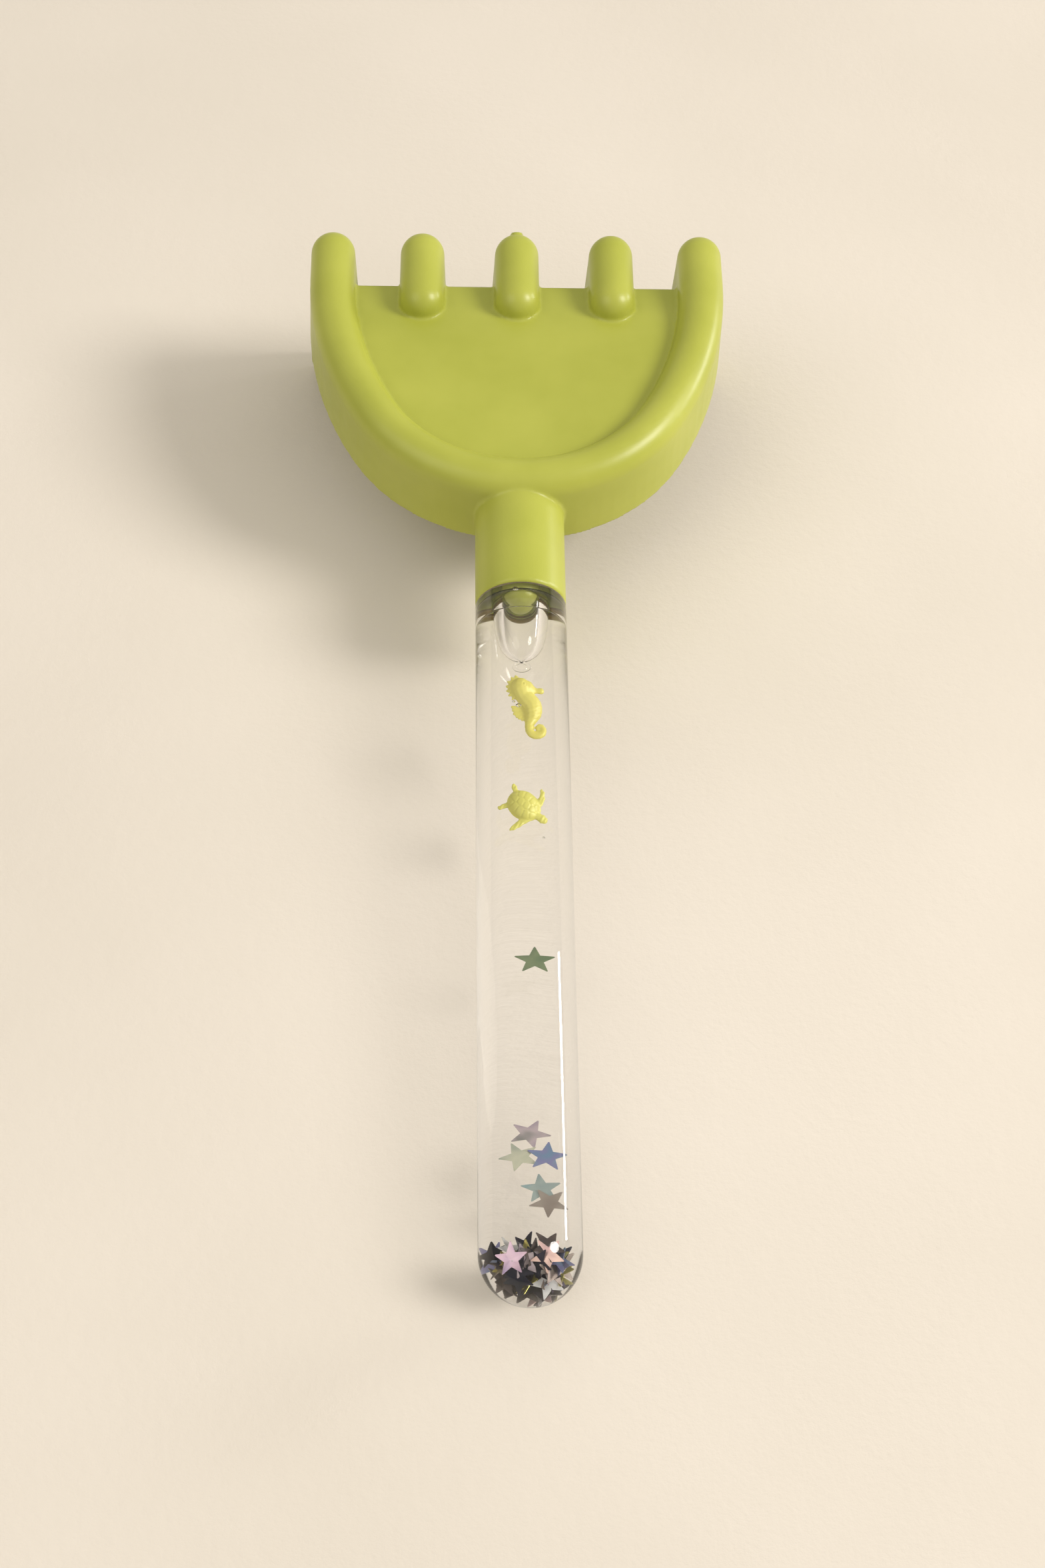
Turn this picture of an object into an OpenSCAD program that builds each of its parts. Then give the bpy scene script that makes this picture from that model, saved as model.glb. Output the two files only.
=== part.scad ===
// Toy sand rake: a moulded head with five tines on a clear, liquid-filled handle.
// Units are millimetres. The rake stands on its tine tips and on the round end of
// its handle, as it lies in use, with the tines towards +Y and the floor at z = 0.
// Each sub-part is drawn in the frame of the handle, whose axis is Y with the
// collar's lip at y = 0, and place() then leans it to the angle at which it rests.

/* [Head] */
// Width across the rolled rim
head_w = 97.2; // [88:0.2:120]
// Diameter of the rolled rim, and width of a tine at its top
bead_d = 10.4; // [8:0.1:12]
// Radius of the rim's long side arcs, at the line where the pan meets the rim
side_r = 72.9; // [66:0.1:90]
// From the pan's rear end to its front edge
pan_len = 55.4; // [50:0.1:57]
// Height of the pan's top above the handle's axis
pan_rise = 7.2; // [5:0.1:9]
// Height of the outer wall below the pan's top
wall_h = 14.4; // [10:0.1:18]
// Wall thickness of the moulding
wall_t = 2.2; // [1.6:0.1:2.8]
// Mould draft of walls and tines, in degrees
draft = 2; // [0.5:0.5:3]
// Length of the sloping band behind the front edge
band_len = 13.8; // [8:0.1:18]
// Fall of the sloping band
band_drop = 3; // [1:0.1:4]

/* [Tines] */
// From the top of a tine to its tip
tine_len = 46.4; // [36:0.1:56]
// From the pan's front edge to the front of a tine
tine_reach = 11.8; // [9:0.1:16]
// From the pan's front edge back to an inner tine's round rear end
tine_back = 12.8; // [8:0.1:16]
// Spacing of the three inner tines
tine_pitch = 22.3; // [20:0.1:26]
// From a tine's middle line back to the slanting mouth of its channel, at the tip
tip_back = 2.8; // [2:0.1:4]
// Radius of the moulding gate's mark on the middle tine
gate_r = 1.4; // [0.8:0.1:2]
// Height of the moulding gate's mark
gate_h = 0.5; // [0.2:0.1:0.8]
// Angle by which the moulding gate's mark leans forward, in degrees
gate_tilt = 58; // [45:1:75]

/* [Handle] */
// Outer diameter of the tube and the collar
tube_od = 20; // [18:0.2:24]
// Wall of the tube
tube_wall = 1.6; // [1:0.1:2.2]
// From the collar's lip to the tube's round end
handle_len = 159; // [130:1:190]
// From the collar's lip to the head's outer wall
collar_len = 24; // [22:0.5:36]
// Depth of the socket in the collar
socket_depth = 20; // [14:0.5:21]
// Wall of the collar round its socket
collar_wall = 2.4; // [1.8:0.1:3]
// Bevel on the collar's lip, which marks the joint with the tube
lip_bevel = 0.6; // [0.3:0.1:1]

/* [Stopper] */
// Length of the plug inside the tube's mouth
plug_len = 4; // [3:0.1:8]
// Outer diameter of the pocket that reaches into the tube
pocket_od = 8.4; // [6:0.1:9]
// Wall of the pocket
pocket_wall = 0.6; // [0.4:0.1:1]
// From the collar's lip to the pocket's tip
pocket_len = 16.6; // [14:0.1:18]
// Length of the pocket's pointed nose
nose_len = 9.4; // [6:0.1:9.6]
// Radius of the ring at the pocket's tip, to the middle of its wire
ring_r = 1.1; // [0.8:0.1:1.5]
// Thickness of the ring's wire
ring_wire = 0.6; // [0.4:0.1:0.8]
// Running or glue gap round the spigot, the plug and the post
fit_gap = 0.1; // [0.05:0.05:0.2]

/* [Figures] */
// Length of the seahorse along the tube
seahorse_len = 16; // [12:0.5:18]
// Length of the turtle along the tube
turtle_len = 11.6; // [9:0.2:13]
// Distance from the lip to the top of the seahorse
seahorse_at = 20.2; // [19.8:0.1:24]
// Distance from the lip to the top of the turtle
turtle_at = 46.4; // [40:0.1:80]
// Distance of the figures' middles above and below the tube's axis
figure_rise = 2.5; // [2.3:0.1:2.7]

/* [Stars] */
// Diameter across the points of a star
star_d = 6; // [4:0.1:7]
// Thickness of a star
star_t = 0.14; // [0.1:0.02:0.2]
// Distance between the levels at which single stars drift
star_gap = 0.3; // [0.25:0.01:0.35]
// Distance from the round end to the top of the settled heap
heap_h = 12.6; // [9:0.1:18]
// Distance between the levels of stars in the heap
heap_gap = 0.7; // [0.5:0.05:1]

/* [Hidden] */
$fn = 64;

// Overrun of every cut, and inset that keeps two tangent faces from lying in one
cut = wall_t / 2;
inset = wall_t / 100;

// Head, seen from above: the three-centred arch of the line where pan meets rim
bead_r = bead_d / 2;
arch_half = head_w / 2 - bead_d;
arch_depth = pan_len - wall_t;
rear_y = collar_len + bead_d;
wide_y = rear_y + arch_depth;
reach_sq = arch_half * arch_half + arch_depth * arch_depth;
arch_r = (2 * side_r * arch_half - reach_sq) / (2 * (side_r - arch_depth));
small_y = rear_y + arch_r;
small_back = arch_depth - arch_r;
side_x = side_r - arch_half;
turn = atan2(small_back, side_x);

// Head, seen from the side
pan_z = pan_rise;
front_y = rear_y + pan_len;
bend_y = front_y - band_len;
foot_z = pan_z - wall_h;
top_z = pan_z + bead_r;

// Tines
tine_y = front_y + tine_reach - bead_r;
roll_y = front_y - tine_back + bead_r;
tip_z = top_z - tine_len;
outer_x = head_w / 2 - bead_r;
tine_xs = [-outer_x, -tine_pitch, 0, tine_pitch, outer_x];
tip_r = (bead_r + (pan_z - tip_z) * sin(draft)) / (1 + sin(draft));
tip_mid_z = tip_z + tip_r;

// The channel's slanting mouth, a line from the skirt's foot past the tip's middle
mouth_away = [tine_y - wide_y, tip_mid_z - foot_z];
mouth_aim = atan2(mouth_away[1], mouth_away[0]) - asin(tip_back / norm(mouth_away));
mouth_y = wide_y + (tip_z - foot_z) / tan(mouth_aim);

// Handle
tube_r = tube_od / 2;
bore_r = tube_r - tube_wall;
end_y = tube_r - handle_len;
socket_r = tube_r - collar_wall;
spigot_r = socket_r - fit_gap;
plug_r = bore_r - fit_gap;
pocket_r = pocket_od / 2;
hollow_r = pocket_r - pocket_wall;
post_r = hollow_r - fit_gap;
ring_y = ring_r - pocket_len - 2 * ring_r;

// Angle at which the rake leans on its tine tips and its round end, and its place
reach = [mouth_y - end_y, tip_z];
lean_up = asin(-tube_r / norm(reach)) - atan2(reach[1], reach[0]);
floor_z = end_y * sin(lean_up) - tube_r;
low_y = end_y * cos(lean_up) - tube_r;
high_y = tine_y * cos(lean_up) - tip_mid_z * sin(lean_up) + tip_r;

// Single stars: distance from the lip as a share of the handle, place across as a share
// of the bore, and turn
star_places = [[0.554, 0.15, 18], [0.79, 0.02, -6], [0.82, -0.16, 40], [0.82, 0.3, 12],
    [0.862, 0.2, 25], [0.88, 0.33, 50]];
star_inner_share = 0.44;
star_r = star_d / 2;
heap_levels = floor((bore_r - wall_t / 2) / heap_gap);

module place() {
    translate([0, -(low_y + high_y) / 2, -floor_z]) rotate([lean_up, 0, 0]) children();
}

// Turns a profile drawn in Y and Z into a bar along X, and one in X and Z into one along Y
module along_x(w) { rotate([90, 0, 90]) linear_extrude(w, center = true) children(); }
module along_y(from, to) {
    translate([0, from, 0]) rotate([-90, 0, 0]) linear_extrude(to - from) mirror([0, 1]) children();
}

// A roll and the two drafted walls below it, each face set in by g. The origin is the roll's
// middle
module roll_section(g) {
    top = (bead_r - g - inset) * [cos(draft), sin(draft)];
    low = (tip_r - g - inset) * [cos(draft), sin(draft)] + [0, tip_mid_z - pan_z];
    circle(bead_r - g);
    polygon([top, low, [-low[0], low[1]], [-top[0], top[1]]]);
}

// Section of the rim. x = 0 is where the pan meets it, y = 0 is the pan's top. Its inner
// wall reaches down far enough to meet the sloping band
module rim_section() {
    web_z = -wall_t - band_drop / 2;
    translate([bead_r, 0]) difference() {
        roll_section(0);
        roll_section(wall_t);
        translate([-bead_d, -wall_h - tine_len]) square([2 * bead_d, tine_len]);
        translate([-bead_d, -wall_h - cut]) square([bead_d, web_z + wall_h + cut]);
    }
}

// A stretch of the rim round an arc of the arch, angles measured from +X
module rim_arc(r, from, sweep) {
    rotate([0, 0, from]) rotate_extrude(angle = sweep) translate([r, pan_z]) rim_section();
}

module rim() {
    translate([0, small_y, 0]) rim_arc(arch_r, 180 + turn, 180 - 2 * turn);
    for (side = [0, 1]) mirror([side, 0, 0]) translate([-side_x, wide_y, 0])
        mirror([0, 1, 0]) rim_arc(side_r, 0, turn);
}

// The arch's outline, grown outwards by g and cut off at the front edge
module arch_plan(g) {
    tangent_y = small_y - (arch_r + g) * sin(turn);
    intersection() {
        union() {
            translate([0, small_y]) circle(arch_r + g);
            intersection() {
                translate([-side_x, wide_y]) circle(side_r + g, $fn = 180);
                translate([side_x, wide_y]) circle(side_r + g, $fn = 180);
                translate([-head_w, tangent_y]) square([2 * head_w, arch_depth]);
            }
        }
        translate([-head_w, -cut]) square([2 * head_w, front_y + cut]);
    }
}

// Pan, sloping band and front skirt, seen from the side
module pan_profile() {
    under_z = pan_z - band_drop - wall_t + band_drop * wall_t / band_len;
    polygon([[0, pan_z], [bend_y, pan_z], [front_y, pan_z - band_drop], [front_y, foot_z],
        [wide_y, foot_z], [wide_y, under_z], [bend_y, pan_z - wall_t], [0, pan_z - wall_t]]);
}

module pan() {
    intersection() {
        along_x(head_w) pan_profile();
        translate([0, 0, foot_z - cut]) linear_extrude(wall_h + 2 * cut) arch_plan(cut);
    }
}

// Front view of a tine with its round top, each face set in by g
module tine_section(g) {
    translate([0, pan_z]) roll_section(g);
    translate([0, tip_mid_z]) circle(tip_r - g);
}

// The rounded front of a tine down to a level, turned half round the tine's middle line
module tine_round(g, level) {
    rotate_extrude(angle = 180) intersection() {
        tine_section(g);
        translate([0, level]) square([bead_d * 2, top_z - level + cut]);
    }
}

// Side view of what stays of a tine that starts at from_y, where it reaches down to level
module tine_side(from_y, level) {
    step = level > foot_z ? [[from_y - cut, level], [wide_y, level], [wide_y, foot_z]]
        : [[from_y - cut, foot_z], [wide_y, foot_z]];
    polygon(concat(step, [[wide_y + (tip_z - cut - foot_z) / tan(mouth_aim), tip_z - cut],
        [tine_y + cut, tip_z - cut], [tine_y + cut, top_z + cut], [from_y - cut, top_z + cut]]));
}

// A tine on an edge of the pan. An inner one starts with a round rear end on the pan, an
// outer one goes on from the rim
module tine(inner) {
    from_y = inner ? roll_y : wide_y;
    level = inner ? pan_z - band_drop : foot_z;
    intersection() {
        along_y(from_y, tine_y) tine_section(0);
        along_x(bead_d * 2) tine_side(from_y, level);
    }
    translate([0, tine_y, 0]) tine_round(0, tip_z - cut);
    if (inner) translate([0, roll_y, 0]) mirror([0, 1, 0]) tine_round(0, pan_z - wall_t);
}

// The channel in a tine, open to the rear and to the hollow under the pan
module tine_channel(inner) {
    along_y(inner ? roll_y : wide_y, tine_y) tine_section(wall_t);
    translate([0, tine_y, 0]) tine_round(wall_t, tip_z);
    if (inner) translate([0, roll_y, 0]) mirror([0, 1, 0]) tine_round(wall_t, foot_z);
}

module gate_mark() {
    translate([0, tine_y, pan_z]) rotate([-gate_tilt, 0, 0]) cylinder(h = bead_r + gate_h, r = gate_r);
}

module collar() {
    rotate([-90, 0, 0]) {
        cylinder(h = lip_bevel, r1 = tube_r - lip_bevel, r2 = tube_r);
        translate([0, 0, lip_bevel]) cylinder(h = collar_len + wall_t - lip_bevel, r = tube_r);
    }
}

module socket() {
    translate([0, -cut, 0]) rotate([-90, 0, 0]) cylinder(h = socket_depth + cut, r = socket_r);
}

module post() {
    dome = post_r;
    translate([0, dome, 0]) rotate([-90, 0, 0]) cylinder(h = socket_depth + cut - dome, r = post_r);
    translate([0, dome, 0]) sphere(dome);
}

module rake_head() color("#b2b455") place() {
    difference() {
        union() {
            rim();
            pan();
            for (x = tine_xs) translate([x, 0, 0]) tine(abs(x) < outer_x);
            gate_mark();
            collar();
        }
        for (x = tine_xs) translate([x, 0, 0]) tine_channel(abs(x) < outer_x);
        socket();
    }
    post();
}

module handle_tube() color("#dfe6e4", 0.35) place() {
    rotate([90, 0, 0]) rotate_extrude() difference() {
        union() {
            square([tube_r, -end_y]);
            translate([0, -end_y]) intersection() {
                circle(tube_r);
                square([tube_r, tube_r]);
            }
        }
        translate([0, -cut]) square([bore_r, cut - end_y]);
        translate([0, -end_y]) intersection() {
            circle(bore_r);
            square([bore_r, bore_r]);
        }
    }
}

// Half outline of the pocket's nose, which ends in a small flat, each face set in by g
module nose_outline(g) {
    taper = pocket_r - ring_r;
    nose_r = (taper * taper + nose_len * nose_len) / (2 * taper);
    intersection() {
        translate([pocket_r - nose_r, 0]) circle(nose_r - g);
        square([pocket_r, nose_len - g]);
    }
}

// The stopper, turned about the tube's axis: spigot, plug and hollow pocket
module stopper() color("#e8eeee", 0.5) place() {
    shoulder = pocket_len - nose_len;
    rotate([90, 0, 0]) rotate_extrude() difference() {
        union() {
            translate([0, fit_gap - socket_depth]) square([spigot_r, socket_depth]);
            square([plug_r, plug_len]);
            square([pocket_r, shoulder]);
            translate([0, shoulder]) nose_outline(0);
        }
        translate([0, -socket_depth]) square([hollow_r, shoulder + socket_depth]);
        translate([0, shoulder]) nose_outline(pocket_wall);
    }
    translate([0, ring_y, 0]) rotate_extrude($fn = 32) translate([ring_r, 0])
        circle(ring_wire / 2, $fn = 24);
}

// Seahorse: places along its body and its fin, as shares of its length, with radii
body_shares = [[-0.06, -0.16, 0.08], [-0.055, -0.25, 0.068], [-0.05, -0.34, 0.056], [0.03, -0.42, 0.072],
    [0.07, -0.52, 0.08], [0.055, -0.64, 0.07], [0.03, -0.77, 0.058], [0.05, -0.88, 0.048]];
curl_mid_shares = [0.115, -0.86];
curl_shares = [0.066, 0.1];
curl_steps = 9;
curl_start = 190;
curl_turn = 520;
curl_loss_share = 0.62;
curl_wire_shares = [0.046, 0.026];
snout_shares = [[0.0, -0.19, 0.035], [0.1, -0.215, 0.022], [0.145, -0.225, 0.034]];
fin_shares = [[0.03, -0.44], [-0.14, -0.43], [-0.11, -0.48], [-0.145, -0.53], [-0.1, -0.57], [-0.12, -0.63],
    [-0.06, -0.67], [0.03, -0.7]];
fin_half_share = 0.02;
crest_count = 5;
crest_shares = [0.15, 0.125];
spike_shares = [0.035, 0.006];
flat_share = 0.75;

// The curl of the tail winds inwards while it thins
function curl(i) = let (t = i / curl_steps, a = curl_start + t * curl_turn, k = 1 - curl_loss_share * t)
    [curl_mid_shares[0] + curl_shares[0] * k * cos(a), curl_mid_shares[1] + curl_shares[1] * k * sin(a),
        curl_wire_shares[0] - curl_wire_shares[1] * t];

module limb(points, size) {
    for (i = [1 : len(points) - 1]) hull() for (p = [points[i - 1], points[i]])
        translate([p[0], p[1], 0] * size) sphere(p[2] * size, $fn = 12);
}

module seahorse() color("#d7cd69") place() {
    size = seahorse_len;
    head = [body_shares[0][0], body_shares[0][1], 0] * size;
    translate([0, -seahorse_at, figure_rise]) scale([1, 1, flat_share]) {
        limb(concat(body_shares, [for (i = [0 : curl_steps]) curl(i)]), size);
        limb(snout_shares, size);
        for (i = [0 : crest_count - 1]) translate(head) rotate([0, 0, 95 + i * 30]) rotate([0, 90, 0])
            cylinder(h = size * crest_shares[i == 0 ? 0 : 1], r1 = size * spike_shares[0],
                r2 = size * spike_shares[1], $fn = 12);
        linear_extrude(2 * size * fin_half_share, center = true) polygon(fin_shares * size);
    }
}

// Turtle: ends of its head and limbs, as shares of its length, with radii
shell_shares = [0.25, 0.185, 0.13];
shell_turn = -52;
shell_mid_share = 0.41;
head_shares = [[0.12, -0.16, 0.055], [0.19, -0.26, 0.062], [0.215, -0.3, 0.056]];
limb_shares = [[[0.14, 0.08, 0.06], [0.23, 0.2, 0.04], [0.245, 0.29, 0.028]],
    [[0.02, -0.2, 0.06], [-0.08, -0.4, 0.045], [-0.15, -0.53, 0.026]],
    [[-0.08, 0.16, 0.045], [-0.09, 0.3, 0.032], [-0.06, 0.37, 0.022]],
    [[-0.14, 0.02, 0.045], [-0.24, -0.05, 0.034], [-0.3, -0.1, 0.022]]];

module turtle() color("#cfc85a") place() {
    size = turtle_len;
    translate([0, -turtle_at - shell_mid_share * size, -figure_rise]) {
        rotate([0, 0, shell_turn]) scale(shell_shares * size) sphere(1, $fn = 28);
        scale([1, 1, flat_share]) {
            limb(head_shares, size);
            for (points = limb_shares) limb(points, size);
        }
    }
}

// Corners of a five-pointed star, every other one drawn in to a share of its radius
function star_points(r, turn) = [for (i = [0 : 9])
    (i % 2 == 0 ? r : r * star_inner_share) * [cos(turn + 36 * i), sin(turn + 36 * i)]];

module star(spot, turn) {
    translate([spot[0], spot[1], spot[2] - star_t / 2]) linear_extrude(star_t)
        polygon(star_points(star_r, turn));
}

module single_star(i) color("#a9b3ad") place() {
    p = star_places[i];
    star([p[1] * bore_r, -p[0] * handle_len, (i - (len(star_places) - 1) / 2) * star_gap], p[2]);
}

// Every level of the heap holds two stars side by side high up, one low down, or two in the
// middle, as far out as the bore's round end lets them lie at that height
module star_heap() color("#8d7f86") place() for (i = [-heap_levels : heap_levels]) {
    z = i * heap_gap;
    room = sqrt(bore_r * bore_r - z * z) - star_r - star_t;
    high = heap_h - tube_r - star_r;
    kind = (i + 3 * heap_levels) % 3;
    if (kind == 1 || room < star_r + 2 * star_t)
        star([heap_gap * sin(i * 70), end_y - (kind == 1 ? max(room, -high) : -high), z], i * 25);
    else for (side = [-1, 1])
        star([side * (star_r + star_t), end_y + (kind == 0 ? high : high - heap_gap), z],
            i * 31 + side * 20);
}

rake_head();
handle_tube();
stopper();
seahorse();
turtle();
single_star(0);  // star_1
single_star(1);  // star_2
single_star(2);  // star_3
single_star(3);  // star_4
single_star(4);  // star_5
single_star(5);  // star_6
star_heap();
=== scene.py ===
# Looks of the toy sand rake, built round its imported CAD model. Lengths are in millimetres of
# the handle's own frame, whose axis is Y with the collar's lip at y = 0, unless a name ends in
# _m. P() takes a point from there to the row frame, in metres.
import math
import random
import bmesh
import bpy
from mathutils import Matrix, Vector


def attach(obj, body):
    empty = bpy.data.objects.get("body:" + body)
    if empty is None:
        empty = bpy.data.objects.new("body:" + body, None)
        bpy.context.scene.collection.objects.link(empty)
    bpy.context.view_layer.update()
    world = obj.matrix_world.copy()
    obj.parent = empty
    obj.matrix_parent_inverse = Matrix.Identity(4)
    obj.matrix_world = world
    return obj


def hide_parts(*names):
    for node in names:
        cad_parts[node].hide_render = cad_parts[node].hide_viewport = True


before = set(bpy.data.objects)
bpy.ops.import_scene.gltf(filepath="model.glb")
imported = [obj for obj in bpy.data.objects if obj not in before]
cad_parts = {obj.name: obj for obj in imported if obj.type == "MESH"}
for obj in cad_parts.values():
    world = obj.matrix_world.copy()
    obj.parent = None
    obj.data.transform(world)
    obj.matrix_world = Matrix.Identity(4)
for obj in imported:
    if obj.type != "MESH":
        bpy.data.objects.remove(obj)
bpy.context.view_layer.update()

# The place of the handle's frame in the row frame, as the CAD source works it out
TURN = Matrix.Rotation(math.radians(5.598739), 4, "X")
PLACE = Matrix.Translation((0, 0.026621872, 0.024536589)) @ TURN @ Matrix.Scale(0.001, 4)
HOME = PLACE.inverted()

# Sizes that the CAD source names
TUBE_R, BORE_R, END_Y = 10.0, 8.4, -149.0
HANDLE_LEN = TUBE_R - END_Y
SOCKET_R, SOCKET_DEPTH, POST_R = 7.6, 20.0, 3.5
PLUG_LEN, POCKET_R, POCKET_LEN = 4.0, 4.2, 16.6
RING_R, RING_WIRE, RING_Y = 1.1, 0.6, -17.7
PAN_Z, BEND_Y, BAND_DROP, BAND_LEN = 7.2, 76.0, 3.0, 13.8
STAR_R, STAR_T, STAR_INNER = 3.0, 0.14, 0.44


def P(x, y, z):
    return PLACE @ Vector((x, y, z))


# Objects and meshes
def link(name, mesh, *materials):
    obj = bpy.data.objects.new(name, mesh)
    bpy.context.scene.collection.objects.link(obj)
    for m in materials:
        mesh.materials.append(m)
    return obj


def from_bmesh(name, bm, *materials, smooth=True):
    mesh = bpy.data.meshes.new(name)
    bm.to_mesh(mesh)
    bm.free()
    mesh.polygons.foreach_set("use_smooth", [smooth] * len(mesh.polygons))
    return link(name, mesh, *materials)


def baked(obj):
    """The object's modifiers are applied to its mesh."""
    graph = bpy.context.evaluated_depsgraph_get()
    mesh = bpy.data.meshes.new_from_object(obj.evaluated_get(graph))
    obj.modifiers.clear()
    old, obj.data = obj.data, mesh
    bpy.data.meshes.remove(old)
    mesh.polygons.foreach_set("use_smooth", [True] * len(mesh.polygons))
    return obj


def fused(obj, materials, voxel_m, rounds):
    """One skin over everything in the object, its creases softened, in these materials."""
    remesh = obj.modifiers.new("Skin", "REMESH")
    remesh.mode = "VOXEL"
    remesh.voxel_size = voxel_m
    soften = obj.modifiers.new("Soften", "SMOOTH")
    soften.factor = 0.5
    soften.iterations = rounds
    baked(obj)
    obj.data.materials.clear()
    for m in materials:
        obj.data.materials.append(m)
    return obj


def lathe(name, profile, mat, steps, air=False):
    """A closed body turned about the handle's axis from points (radius, y). With air=True its
    normals point inwards, from the denser side of the surface to the thinner one."""
    bm = bmesh.new()
    rings = []
    for r, y in profile:
        angles = [2 * math.pi * k / steps for k in range(steps if r else 1)]
        rings.append([bm.verts.new(P(r * math.cos(a), y, r * math.sin(a))) for a in angles])
    for a, b in zip(rings, rings[1:]):
        for i in range(steps):
            j = (i + 1) % steps
            # A ring on the axis is one point, so its quads are triangles
            quad = [a[i % len(a)], a[j % len(a)], b[j % len(b)], b[i % len(b)]]
            corners = list(dict.fromkeys(quad))
            if len(corners) > 2:
                bm.faces.new(corners)
    bmesh.ops.recalc_face_normals(bm, faces=bm.faces)
    if air:
        bmesh.ops.reverse_faces(bm, faces=bm.faces)
    return from_bmesh(name, bm, mat)


def round_end(r, steps):
    """Profile of the tube's round end, from its tip on the axis to the full radius."""
    angles = [math.radians(-90 + 90 * k / steps) for k in range(1, steps + 1)]
    return [(0, END_Y - r)] + [(r * math.cos(a), END_Y + r * math.sin(a)) for a in angles]


# Materials
def material(name):
    m = bpy.data.materials.new(name)
    m.use_nodes = True
    return m, m.node_tree.nodes, m.node_tree.links, m.node_tree.nodes["Principled BSDF"]


def colour(text):
    """Linear colour of an sRGB hex value."""
    parts = [int(text[i:i + 2], 16) / 255 for i in (0, 2, 4)]
    linear = [c / 12.92 if c <= 0.04045 else ((c + 0.055) / 1.055) ** 2.4 for c in parts]
    return (*linear, 1.0)


def noise(nodes, links, coords, scale, detail, rough=0.5):
    n = nodes.new("ShaderNodeTexNoise")
    n.inputs["Scale"].default_value = scale
    n.inputs["Detail"].default_value = detail
    n.inputs["Roughness"].default_value = rough
    links.new(coords, n.inputs["Vector"])
    return n.outputs["Fac"]


def ramp(nodes, links, value, stops):
    r = nodes.new("ShaderNodeValToRGB")
    r.color_ramp.elements[0].position, r.color_ramp.elements[0].color = stops[0]
    r.color_ramp.elements[1].position, r.color_ramp.elements[1].color = stops[-1]
    for at, c in stops[1:-1]:
        r.color_ramp.elements.new(at).color = c
    links.new(value, r.inputs["Fac"])
    return r.outputs["Color"]


def drift(nodes, links, coords, tones, scale, detail):
    """Colours that drift into each other across a surface, over the noise's usual range."""
    stops = [(0.3 + 0.4 * k / (len(tones) - 1), colour(c)) for k, c in enumerate(tones)]
    return ramp(nodes, links, noise(nodes, links, coords, scale, detail), stops)


def spread(nodes, links, value, low, high):
    m = nodes.new("ShaderNodeMapRange")
    m.inputs["To Min"].default_value, m.inputs["To Max"].default_value = low, high
    links.new(value, m.inputs["Value"])
    return m.outputs["Result"]


def bump(nodes, links, shader, height, strength, depth_m):
    b = nodes.new("ShaderNodeBump")
    b.inputs["Strength"].default_value, b.inputs["Distance"].default_value = strength, depth_m
    links.new(height, b.inputs["Height"])
    links.new(b.outputs["Normal"], shader.inputs["Normal"])


def moulded(name, tones, rough, grain, subsurface=0.0):
    """Moulded plastic: a slow drift of colour and gloss, and the mould's fine grain."""
    m, nodes, links, shader = material(name)
    coords = nodes.new("ShaderNodeTexCoord").outputs["Object"]
    tone = drift(nodes, links, coords, tones, scale=45, detail=4)
    links.new(tone, shader.inputs["Base Color"])
    patches = noise(nodes, links, coords, scale=260, detail=5)
    gloss = spread(nodes, links, patches, rough - 0.05, rough + 0.05)
    links.new(gloss, shader.inputs["Roughness"])
    pores = noise(nodes, links, coords, scale=2600, detail=3, rough=0.6)
    bump(nodes, links, shader, pores, grain, depth_m=0.00008)
    shader.inputs["IOR"].default_value = 1.48
    if subsurface:
        shader.inputs["Subsurface Weight"].default_value = subsurface
        shader.inputs["Subsurface Radius"].default_value = (0.9, 0.9, 0.35)
        shader.inputs["Subsurface Scale"].default_value = 0.0015
    return m


def clear(name, index):
    """Clear plastic or liquid whose surface has that ratio of refractive indices. Light between
    lamps and plain surfaces goes straight through it, and each surface takes a little."""
    m, nodes, links, shader = material(name)
    shader.inputs["Base Color"].default_value = (1, 1, 1, 1)
    shader.inputs["Transmission Weight"].default_value = 1.0
    shader.inputs["Roughness"].default_value = 0.0
    shader.inputs["IOR"].default_value = index
    through = nodes.new("ShaderNodeBsdfTransparent")
    through.inputs["Color"].default_value = (0.93, 0.93, 0.93, 1)
    path, seen = nodes.new("ShaderNodeLightPath"), shader.outputs["BSDF"]
    for rays in ("Is Shadow Ray", "Is Diffuse Ray"):
        mix = nodes.new("ShaderNodeMixShader")
        links.new(path.outputs[rays], mix.inputs["Fac"])
        links.new(seen, mix.inputs[1])
        links.new(through.outputs["BSDF"], mix.inputs[2])
        seen = mix.outputs["Shader"]
    links.new(seen, nodes["Material Output"].inputs["Surface"])
    return m


def foil(name, tones):
    """Metallised film whose colours drift across it, under a thin film that plays with light."""
    m, nodes, links, shader = material(name)
    coords = nodes.new("ShaderNodeTexCoord").outputs["Object"]
    tone = drift(nodes, links, coords, tones, scale=210, detail=2)
    links.new(tone, shader.inputs["Base Color"])
    shader.inputs["Metallic"].default_value = 0.55
    shader.inputs["Roughness"].default_value = 0.22
    shader.inputs["Thin Film Thickness"].default_value = 380.0
    shader.inputs["Thin Film IOR"].default_value = 1.6
    return m


green = moulded("head_plastic", ["a8ad42", "b4b84e"], rough=0.36, grain=0.16, subsurface=0.12)
# Painted shade: a dark brown for the shaded gap between the collar's lip and the tube
lip_shade = moulded("painted_lip_shade", ["56420c", "6e5a16"], rough=0.3, grain=0.1)
yellow = moulded("seahorse_plastic", ["d8cf62", "e6de7e"], rough=0.42, grain=0.2, subsurface=0.15)
lime = moulded("turtle_plastic", ["cbc653", "dcd873"], rough=0.4, grain=0.2, subsurface=0.15)
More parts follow.
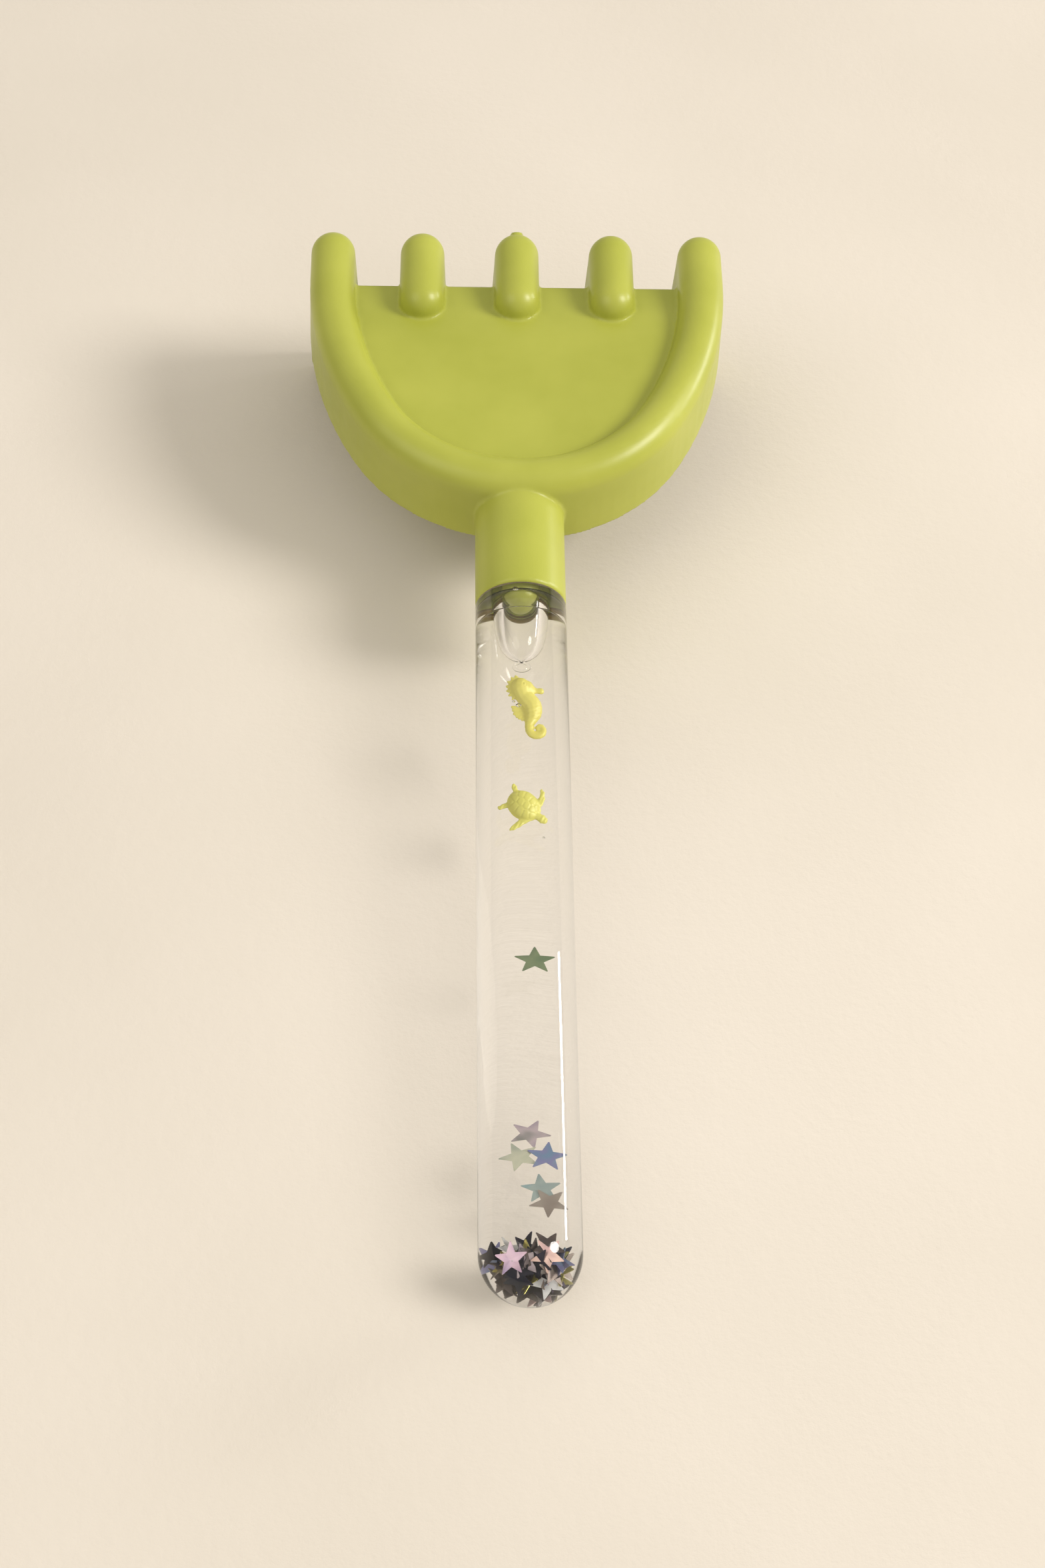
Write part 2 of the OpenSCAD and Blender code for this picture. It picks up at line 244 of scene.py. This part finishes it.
# Each index is that of the surface's denser side over its thinner one: plastic 1.49 to air,
# plastic to water, and for the ring and the bubbles what makes their thin outlines show
wall_clear = clear("tube_plastic", 1.49)
liquid_clear = clear("tube_liquid", 1.118)
air_clear = clear("pocket_air", 1.49)
ring_clear = clear("ring_plastic", 1.32)
bubble_clear = clear("bubble_air", 1.43)
FOILS = {film: foil("foil_" + film, tones) for film, tones in {
    "sage": ["647a58", "87946e", "6f7c62"],
    "mauve": ["a08fa0", "c3b3b6", "8e8b86"],
    "mint": ["b6bda2", "cfceb6", "a5aa9c"],
    "teal": ["6295a8", "8b86b0", "84b0b4"],
    "sea": ["62a0b2", "a8b4ae", "909f9f"],
    "brown": ["85766a", "a5998d", "8f8176"],
    "pink": ["d3a8b4", "e3c6c4", "b993b8"],
    "lilac": ["a98ba4", "c6a8b6", "9c88a8"],
    "black": ["1d1a20", "2c2833", "141416"],
    "olive": ["a9a244", "c8bf66", "8d8a3c"],
    "silver": ["c9c9cb", "ececec", "b4b8bd"],
    "tan": ["c79d90", "ddbcae", "c09a9c"],
    "umber": ["3c322c", "5a4c42", "2c2624"],
}.items()}

# Head: the CAD solid's own shape with moulded, softly rounded edges
head_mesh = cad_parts["rake_head"].data.copy()
head_mesh.materials.clear()
bm = bmesh.new()
bm.from_mesh(head_mesh)
bmesh.ops.remove_doubles(bm, verts=bm.verts, dist=1e-6)
bm.to_mesh(head_mesh)
bm.free()
# The post's round end stands further out into the pocket and is wider, as it is seen there. Its
# points lie before DOME_Y and within DOME_R of the axis
POST_OUT, POST_WIDE = 2.0, 1.1
DOME_Y, DOME_R = POST_R + 0.1, POST_R + 0.05
for v in head_mesh.vertices:
    p = HOME @ v.co
    if p.y < DOME_Y and math.hypot(p.x, p.z) < DOME_R:
        v.co = P(p.x * POST_WIDE, p.y - POST_OUT, p.z * POST_WIDE)
head = fused(link("head_shell", head_mesh), [green, lip_shade], voxel_m=0.0004, rounds=2)
# Painted shade: a dark brown on the faces at the collar's lip, between the bore and the tube's
# outside, which stands for the shaded gap between the lip and the tube
LIP_SHADE_Y, LIP_SHADE_IN_R, LIP_SHADE_OUT_R = 1.2, SOCKET_R - 0.6, TUBE_R - 0.75
for face in head.data.polygons:
    p = HOME @ face.center
    if p.y < LIP_SHADE_Y and LIP_SHADE_IN_R < math.hypot(p.x, p.z) < LIP_SHADE_OUT_R:
        face.material_index = 1
# The pan bends down to its front edge in a curve of SOFT to each side of the bend. It fades out
# towards the rim, and towards the tops of the tines
SOFT, SLOPE = 5.0, BAND_DROP / BAND_LEN
PAN_HALF, BELOW, ABOVE = 37.0, 6, 2
for v in head.data.vertices:
    p = HOME @ v.co
    d = abs(p.y - BEND_Y)
    if d < SOFT and abs(p.x) < PAN_HALF and PAN_Z - BELOW < p.z < PAN_Z + ABOVE:
        keep = min(1.0, (PAN_Z + ABOVE - p.z) / ABOVE) * min(1.0, PAN_HALF - abs(p.x))
        p.z -= keep * SLOPE * (SOFT - d) ** 2 / (4 * SOFT)
        v.co = PLACE @ p
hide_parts("rake_head")
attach(head, "rake")

# Tube: its outer skin, which goes on as the spigot inside the collar
tube_line = round_end(TUBE_R, 28) + [
    (TUBE_R, -0.35), (TUBE_R - 0.1, -0.12), (TUBE_R - 0.35, 0.0), (TUBE_R - 0.4, 0.5),
    (SOCKET_R + 0.1, 0.5), (SOCKET_R + 0.1, SOCKET_DEPTH + 0.1), (0, SOCKET_DEPTH + 0.1)]
tube = lathe("tube_wall", tube_line, wall_clear, steps=128)
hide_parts("handle_tube")
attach(tube, "rake")

# The stopper is a thin sleeve in the tube's mouth, with a cup in its middle that makes the
# pocket. CUP is the cup's outside from the mouth to its rounded tip, as (radius, y)
SLEEVE_END, CUP_WALL = 6.2, 0.25
CUP = [(4.22, -1.2), (4.2, -PLUG_LEN - 0.3), (4.18, -5.4), (4.08, -6.8), (3.93, -8.3),
       (3.73, -9.9), (3.47, -11.3), (3.15, -12.6), (2.77, -13.65), (2.4, -14.4), (1.94, -15.1),
       (1.5, -15.6), (1.05, -16.0), (0.6, -16.32), (0.2, -16.52)]


def inset(line, g):
    """The line moved inwards by g, at right angles to its own run."""
    out = []
    for k, (r, y) in enumerate(line):
        (r0, y0), (r1, y1) = line[max(k - 1, 0)], line[min(k + 1, len(line) - 1)]
        size = math.hypot(r1 - r0, y1 - y0)
        out.append((max(r - g * (y0 - y1) / size, 0.08), y + g * (r0 - r1) / size))
    return out


# Liquid: from the bore's round end past the sleeve's thin end and round the cup
liquid_line = round_end(BORE_R, 24) + [
    (BORE_R, -SLEEVE_END), (BORE_R - 0.35, -SLEEVE_END + 0.1), (BORE_R - 0.6, -SLEEVE_END + 0.6),
    (BORE_R - 1.4, -1.3), (BORE_R - 1.9, -0.75), (POCKET_R + 0.5, -0.7),
    (POCKET_R + 0.15, -0.85)] + CUP + [(0, -POCKET_LEN)]
liquid = lathe("tube_liquid", liquid_line, liquid_clear, steps=128, air=True)
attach(liquid, "rake")

# Stopper: the air in the cup, which flares a little at the mouth, and the ring at the tip
HOLLOW_R = POCKET_R - CUP_WALL
air_line = [(0, SOCKET_DEPTH + 0.05), (HOLLOW_R, SOCKET_DEPTH + 0.05), (HOLLOW_R, 0.6),
            (HOLLOW_R + 0.1, -0.2), (HOLLOW_R + 0.05, -1.2)] + inset(CUP[1:], CUP_WALL) + [
    (0, inset(CUP, CUP_WALL)[-1][1] - 0.03)]
pocket = lathe("stopper_pocket", air_line, air_clear, steps=96, air=True)
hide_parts("stopper")
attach(pocket, "rake")


def wire_ring(name, y, ring_r, wire_r, mat, steps, sides):
    """A ring of round wire that lies along the handle, its middle on the axis at y."""
    bm = bmesh.new()
    rows = []
    for i in range(steps):
        a = 2 * math.pi * i / steps
        rows.append([])
        for j in range(sides):
            b = 2 * math.pi * j / sides
            r = ring_r + wire_r * math.cos(b)
            spot = P(r * math.cos(a), y + r * math.sin(a), wire_r * math.sin(b))
            rows[-1].append(bm.verts.new(spot))
    for i in range(steps):
        here, after = rows[i], rows[(i + 1) % steps]
        for j in range(sides):
            k = (j + 1) % sides
            bm.faces.new((here[j], after[j], after[k], here[k]))
    bmesh.ops.recalc_face_normals(bm, faces=bm.faces)
    return from_bmesh(name, bm, mat)


ring = wire_ring("stopper_ring", RING_Y, RING_R, RING_WIRE / 2, ring_clear, steps=48, sides=16)
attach(ring, "rake")

# Small bubbles that hang under the tube's upper side, as (x, y, z, radius), a little flattened
BUBBLES = ((-1.3, -1.3, 7.6, 0.5), (-1.0, -31.2, 7.6, 0.45), (-1.9, -30.2, 7.5, 0.25),
           (3.4, -63.0, 7.2, 0.2))
bm = bmesh.new()
for x, y, z, r in BUBBLES:
    made = bmesh.ops.create_icosphere(bm, subdivisions=3, radius=r / 1000)
    shape = Matrix.Translation(P(x, y, z)) @ Matrix.Diagonal((1.25, 1, 0.8, 1))
    bmesh.ops.transform(bm, matrix=shape, verts=made["verts"])
bmesh.ops.reverse_faces(bm, faces=bm.faces)
bubbles = from_bmesh("liquid_bubbles", bm, bubble_clear)
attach(bubbles, "rake")


# Figures: limbs of tapered beads, fused to one skin and carved. Their tables hold places
# (across, down, radius) in steps as they are seen. The water widens what is seen across the
# tube, so each figure says how long a step really is: (origin, across, along, deep)
def bead(bm, real, spot, radii, turn=0.0, detail=2):
    origin, across, along, deep = real
    made = bmesh.ops.create_icosphere(bm, subdivisions=detail, radius=1.0)
    where = (origin[0] + spot[0] * across, origin[1] - spot[1] * along, origin[2])
    turned = Matrix.Rotation(math.radians(-turn), 4, "Z")
    shape = Matrix.Diagonal((across, along, deep, 1)) @ turned @ Matrix.Diagonal((*radii, 1))
    bmesh.ops.transform(bm, matrix=PLACE @ Matrix.Translation(where) @ shape, verts=made["verts"])


def beads(bm, points, real, flat=1.0, steps=7):
    """Overlapping beads along a line of seen points."""
    for a, b in zip(points, points[1:]):
        for k in range(steps + 1):
            u, v, r = (p + (q - p) * k / steps for p, q in zip(a, b))
            bead(bm, real, (u, v), (r, r, r * flat))


def carve(obj, pattern, real, depth_m):
    """Moves each point of a figure along its normal by depth_m times the pattern's value there."""
    origin, across, along, deep = real
    moves = []
    for v in obj.data.vertices:
        p = HOME @ v.co
        seen = ((p.x - origin[0]) / across, (origin[1] - p.y) / along, (p.z - origin[2]) / deep)
        moves.append(v.co + v.normal * depth_m * pattern(*seen))
    for v, co in zip(obj.data.vertices, moves):
        v.co = co
    obj.data.update()


# Seahorse, measured from the top of its head
HORSE = ((-0.55, -21.3, 2.5), 0.0401, 0.062, 0.036)
HORSE_BODY = [(6, 50, 43), (12, 68, 38), (18, 86, 34), (34, 102, 39), (50, 118, 41), (55, 134, 41),
              (55, 150, 37), (49, 170, 28), (41, 190, 22), (38, 206, 19), (39, 222, 18),
              (46, 234, 17), (60, 241, 16), (78, 240, 15.5), (93, 232, 15), (98, 219, 14),
              (92, 208, 12.5), (80, 205, 11.5), (72, 212, 10), (76, 220, 9)]
HORSE_SNOUT = [(30, 50, 32), (50, 57, 20), (64, 60, 12.5), (76, 60, 10.5), (86, 60, 13),
               (91, 60, 13)]
CURL_AT, CURL_RADII = (82, 222), (17, 17, 6)
# The crest's spikes point away from HEAD_AT, and start at the share CREST_START of the way
HEAD_AT, CREST_START, CREST_ROOT_R, CREST_TIP_R = (6, 50), 0.62, 14, 5.5
CREST_TIPS = ((-14, -1), (-33, 6), (-47, 22), (-53, 41), (-51, 60), (-42, 79), (-29, 95))
FIN_ROOT, FIN_ROOT_R, FIN_TIP_R = (26, 148), 22, 8
FIN_TIPS = ((-30, 125), (-27, 140), (-22, 154), (-13, 166), (-1, 173), (11, 178))
bm = bmesh.new()
beads(bm, HORSE_BODY, HORSE)
# A web fills the tail's curl
bead(bm, HORSE, CURL_AT, CURL_RADII)
beads(bm, HORSE_SNOUT, HORSE)
for tip in CREST_TIPS:
    start = [h + (t - h) * CREST_START for h, t in zip(HEAD_AT, tip)]
    beads(bm, [(*start, CREST_ROOT_R), (*tip, CREST_TIP_R)], HORSE, flat=0.7, steps=5)
for tip in FIN_TIPS:
    beads(bm, [(*FIN_ROOT, FIN_ROOT_R), (*tip, FIN_TIP_R)], HORSE, flat=0.42, steps=10)
seahorse = fused(from_bmesh("seahorse_skin", bm), [yellow], voxel_m=0.00016, rounds=3)
# The carving: the step from groove to groove, the rays in a full turn, and the eye in its
# hollow, which lie further than EYE_DEPTH from the middle plane
GROOVE_STEP, FIN_RAYS, EYE_AT, EYE_R, EYE_HOLLOW_R, EYE_DEPTH = 17, 14, (22, 40), 5, 9, 12


def horse_pattern(u, v, w):
    """Grooves round the body, rays in the fin, and the eye in its hollow."""
    value = 0.0
    if 125 < v < 232 and u > 10:
        value -= 0.5 * max(0.0, math.cos((v + 0.35 * u) * 2 * math.pi / GROOVE_STEP)) ** 3
    if u < 12 and 115 < v < 190:
        ray = math.atan2(v - FIN_ROOT[1], u - FIN_ROOT[0]) * FIN_RAYS
        value -= 0.8 * max(0.0, math.cos(ray)) ** 4
    from_eye = math.hypot(u - EYE_AT[0], v - EYE_AT[1])
    if from_eye < EYE_HOLLOW_R and abs(w) > EYE_DEPTH:
        value += 0.9 if from_eye < EYE_R else -0.7
    return value


carve(seahorse, horse_pattern, HORSE, depth_m=0.0001)
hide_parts("seahorse")
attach(seahorse, "seahorse")

# Turtle, measured from the middle of its shell. PLATES are the middles of the shell's plates,
# as shares of its half length and half width
TURTLE = ((0.06, -51.3, -2.5), 0.0326, 0.0588, 0.03)
SHELL, SHELL_TURN, RIM_WIDER, RIM_DEEP = (70, 55, 46), 33, 5, 12
TURTLE_HEAD = [(46, 34, 20), (62, 46, 16), (76, 54, 19), (86, 59, 14)]
TURTLE_LIMBS = ([(44, 18, 17), (66, -8, 15), (76, -32, 14), (79, -52, 11), (77, -64, 8)],
                [(18, 52, 17), (-6, 66, 16), (-26, 80, 14), (-44, 92, 11), (-54, 98, 7)],
                [(-50, -8, 13), (-74, -2, 12), (-92, 3, 11), (-102, 5, 8)],
                [(-22, -46, 14), (-32, -62, 12), (-36, -74, 13), (-38, -82, 11)])
PLATES = [(-0.64, 0), (-0.22, 0), (0.22, 0), (0.64, 0), (-0.44, 0.53), (0.0, 0.6), (0.44, 0.53),
          (-0.44, -0.53), (0.0, -0.6), (0.44, -0.53), (-0.8, 0.37), (0.8, 0.37), (-0.8, -0.37),
          (0.8, -0.37)]
bm = bmesh.new()
bead(bm, TURTLE, (0, 0), SHELL, SHELL_TURN, detail=5)
rim = (SHELL[0] + RIM_WIDER, SHELL[1] + RIM_WIDER, RIM_DEEP)
bead(bm, TURTLE, (2, 1), rim, SHELL_TURN, detail=5)
beads(bm, TURTLE_HEAD, TURTLE, flat=0.9)
for limb in TURTLE_LIMBS:
    beads(bm, limb, TURTLE, flat=0.5)
turtle = fused(from_bmesh("turtle_skin", bm), [lime], voxel_m=0.00014, rounds=3)
# The carving: the share of the shell where its plates end, the one where the veins begin, and
# the width and depth of the grooves between the plates
PLATES_END, VEINS_START, GROOVE, GROOVE_DEEP = 0.96, 1.2, 0.09, 0.9


def turtle_pattern(u, v, w):
    """Grooves between the shell's plates, and veins on the flippers."""
    a = math.radians(SHELL_TURN)
    x = (u * math.cos(a) + v * math.sin(a)) / SHELL[0]
    y = (v * math.cos(a) - u * math.sin(a)) / SHELL[1]
    out = math.hypot(x, y)
    if out > PLATES_END:
        return 0.35 * math.cos(0.35 * u + 0.2 * v) if out > VEINS_START else 0.0
    near = sorted(math.hypot(x - px, (y - py) * 0.8) for px, py in PLATES)
    return GROOVE_DEEP * min(1.0, (near[1] - near[0]) / GROOVE) - GROOVE_DEEP


carve(turtle, turtle_pattern, TURTLE, depth_m=0.00013)
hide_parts("turtle")
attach(turtle, "turtle")


# Stars: thin punched film, raised by STAR_RISE in the middle. STAR_POINT rounds each point's end
# with places on it, as (share of the radius, degrees off the point)
STAR_HALF_T, STAR_RISE = STAR_T * 0.7 / 2, 0.03
STAR_POINT = ((0.97, -2.2), (1, 0), (0.97, 2.2))


def on_circle(r, degrees):
    return Vector((r * math.cos(math.radians(degrees)), r * math.sin(math.radians(degrees)), 0))


def add_star(bm, place, index):
    top, low = [], []
    for i in range(10):
        line = [on_circle(STAR_R * STAR_INNER, 36 * i)]
        if i % 2 == 0:
            line = [on_circle(STAR_R * share, 36 * i + off) for share, off in STAR_POINT]
        for c in line:
            top.append(bm.verts.new(PLACE @ place @ (c + Vector((0, 0, STAR_HALF_T)))))
            low.append(bm.verts.new(PLACE @ place @ (c - Vector((0, 0, STAR_HALF_T)))))
    up = bm.verts.new(PLACE @ place @ Vector((0, 0, STAR_HALF_T + STAR_RISE)))
    down = bm.verts.new(PLACE @ place @ Vector((0, 0, -STAR_HALF_T + STAR_RISE / 2)))
    for i in range(len(top)):
        j = (i + 1) % len(top)
        for f in ((up, top[i], top[j]), (down, low[j], low[i]), (top[i], low[i], low[j], top[j])):
            bm.faces.new(f).material_index = index


# Single stars: place as a share of the handle and of the bore, turn and film. They drift at
# levels LEVEL_GAP apart, the first one lowest
LEVEL_GAP = 0.3
STARS = [(0.554, 0.15, 18, "sage"), (0.79, 0.02, -6, "mauve"), (0.82, -0.16, 40, "mint"),
         (0.82, 0.3, 12, "teal"), (0.862, 0.2, 25, "sea"), (0.88, 0.33, 50, "brown")]
for i, (along, across, turn, film) in enumerate(STARS):
    bm = bmesh.new()
    spot = (across * BORE_R, -along * HANDLE_LEN, (i - (len(STARS) - 1) / 2) * LEVEL_GAP)
    add_star(bm, Matrix.Translation(spot) @ Matrix.Rotation(math.radians(turn), 4, "Z"), 0)
    star = from_bmesh(f"star_{i + 1}_film", bm, FOILS[film], smooth=False)
    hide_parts(f"star_{i + 1}")
    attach(star, f"star_{i + 1}")

# Heap: stars settled at all angles in the bore's round end. FILM_ORDER repeats, so that the
# dark films are the commonest, and names places in HEAP_FILMS
HEAP_FILMS = ["lilac", "tan", "black", "umber", "olive", "silver", "mauve", "pink", "teal", "brown"]
FILM_ORDER = [2, 3, 4, 2, 5, 3, 2, 9, 4, 2, 6, 3, 8, 2, 4, 7]
HEAP_COUNT, HEAP_TRIES, HEAP_TOP_Y, WALL_GAP = 56, 16000, -146.5, 0.2
# The ranges of the random places, and of the tilt and turn in radians
HEAP_X, HEAP_Y, HEAP_Z = (-6.0, 6.0), (-155.0, -148.4), (-6.5, 4.2)
HEAP_TILT, HEAP_TURN = 0.9, 6.28
TIPS = [on_circle(STAR_R, 72 * k) for k in range(5)]
# Two more lie on the rest, near the upper side, as (x, y, z, tilt, turn), and lean by ON_TOP_LEAN
ON_TOP = ((-3.4, -151.6, 4.7, -24, 20), (2.7, -150.9, 4.6, -6, 52))
ON_TOP_LEAN = Matrix.Rotation(math.radians(12), 4, "X")


def in_bore(p):
    from_axis = math.hypot(p.x, p.z) if p.y > END_Y else (p - Vector((0, END_Y, 0))).length
    return from_axis < BORE_R - WALL_GAP


dice = random.Random(11)
bm = bmesh.new()
for k, (x, y, z, tilt, turn) in enumerate(ON_TOP):
    facing = ON_TOP_LEAN @ Matrix.Rotation(math.radians(tilt), 4, "Y")
    turned = Matrix.Rotation(math.radians(turn), 4, "Z")
    add_star(bm, Matrix.Translation((x, y, z)) @ facing @ turned, k)
placed, tries = 0, 0
while placed < HEAP_COUNT and tries < HEAP_TRIES:
    tries += 1
    z = dice.uniform(*HEAP_Z)
    y = dice.uniform(*HEAP_Y)
    x = dice.uniform(*HEAP_X)
    lean = Matrix.Rotation(dice.uniform(-HEAP_TILT, HEAP_TILT), 4, "X")
    facing = lean @ Matrix.Rotation(dice.uniform(-HEAP_TILT, HEAP_TILT), 4, "Y")
    turned = Matrix.Rotation(dice.uniform(0, HEAP_TURN), 4, "Z")
    place = Matrix.Translation((x, y, z)) @ facing @ turned
    tips = [place @ tip for tip in TIPS]
    if all(in_bore(t) for t in tips) and max(t.y for t in tips) < HEAP_TOP_Y:
        add_star(bm, place, FILM_ORDER[placed % len(FILM_ORDER)])
        placed += 1
heap = from_bmesh("star_heap_film", bm, *[FOILS[k] for k in HEAP_FILMS], smooth=False)
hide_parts("star_heap")
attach(heap, "star_heap")

# Floor: pale plaster, 6 m square
m, nodes, links, shader = material("floor_plaster")
coords = nodes.new("ShaderNodeTexCoord").outputs["Object"]
tone = drift(nodes, links, coords, ["dcd4c8", "e4dcd1"], scale=7, detail=5)
links.new(tone, shader.inputs["Base Color"])
shader.inputs["Roughness"].default_value = 0.85
unevenness = noise(nodes, links, coords, scale=350, detail=6, rough=0.65)
bump(nodes, links, shader, unevenness, strength=0.25, depth_m=0.0006)
bm = bmesh.new()
bmesh.ops.create_grid(bm, x_segments=1, y_segments=1, size=3.0)
floor = from_bmesh("floor", bm, m, smooth=False)


# Light, in metres: a soft key from the right, a fill, a low strip that glints along the tube, and
# a plain pale surround
def lamp(name, place, target, size, watts, tint):
    data = bpy.data.lights.new(name, "AREA")
    data.shape, data.size, data.energy, data.color = "DISK", size, watts, tint
    obj = bpy.data.objects.new(name, data)
    bpy.context.scene.collection.objects.link(obj)
    obj.location = place
    obj.rotation_euler = (Vector(target) - Vector(place)).to_track_quat("-Z", "Y").to_euler()
    return obj


lamp("key", (1.79, -0.21, 1.47), (0, 0.03, 0), size=0.88, watts=37.0, tint=(1.0, 0.955, 0.9))
lamp("fill", (-0.9, -0.5, 1.2), (0, 0, 0), size=1.2, watts=4.5, tint=(1.0, 0.96, 0.88))
glint = lamp("glint", (1.3, 0.53, 0.24), (0, -0.1, 0.02), size=0.42, watts=0.8,
             tint=(1.0, 0.98, 0.95))
glint.data.shape, glint.data.size_y = "RECTANGLE", 0.13
glint.data.spread = math.radians(70)
world = bpy.data.worlds.new("surround")
bpy.context.scene.world = world
world.use_nodes = True
nodes, links = world.node_tree.nodes, world.node_tree.links
height = nodes.new("ShaderNodeSeparateXYZ")
links.new(nodes.new("ShaderNodeTexCoord").outputs["Generated"], height.inputs["Vector"])
SKY = [(0.0, (0.46, 0.44, 0.42, 1)), (0.35, (0.82, 0.77, 0.69, 1)), (1.0, (1.0, 0.955, 0.87, 1))]
links.new(ramp(nodes, links, height.outputs["Z"], SKY), nodes["Background"].inputs["Color"])
nodes["Background"].inputs["Strength"].default_value = 0.67

# Camera: the place and turn from which the photograph was taken, fitted in the handle's frame.
# The focal length is in pixels of the photograph, whose longer side is FRAME_PX
AZ, EL, ROLL = math.radians(-3.76065), math.radians(58.82159), math.radians(3.54333)
FOCAL_PX, FRAME_PX, SENSOR = 3724.2, 2352, 36.0
EYE = (-17.909, -315.049, 446.679)
away = Vector((math.sin(AZ) * math.cos(EL), -math.cos(AZ) * math.cos(EL), math.sin(EL)))
side = Vector((0, 0, 1)).cross(away).normalized()
top = away.cross(side)
right = math.cos(ROLL) * side + math.sin(ROLL) * top
up = -math.sin(ROLL) * side + math.cos(ROLL) * top
data = bpy.data.cameras.new("photo")
camera = bpy.data.objects.new("photo", data)
bpy.context.scene.collection.objects.link(camera)
turned = TURN.to_3x3() @ Matrix((right, up, away)).transposed()
camera.matrix_world = Matrix.Translation(P(*EYE)) @ turned.to_4x4()
data.sensor_width, data.sensor_fit = SENSOR, "AUTO"
data.lens = FOCAL_PX * SENSOR / FRAME_PX
data.clip_start, data.clip_end = 0.01, 50.0
bpy.context.scene.camera = camera
bpy.context.scene.view_settings.view_transform = "Standard"
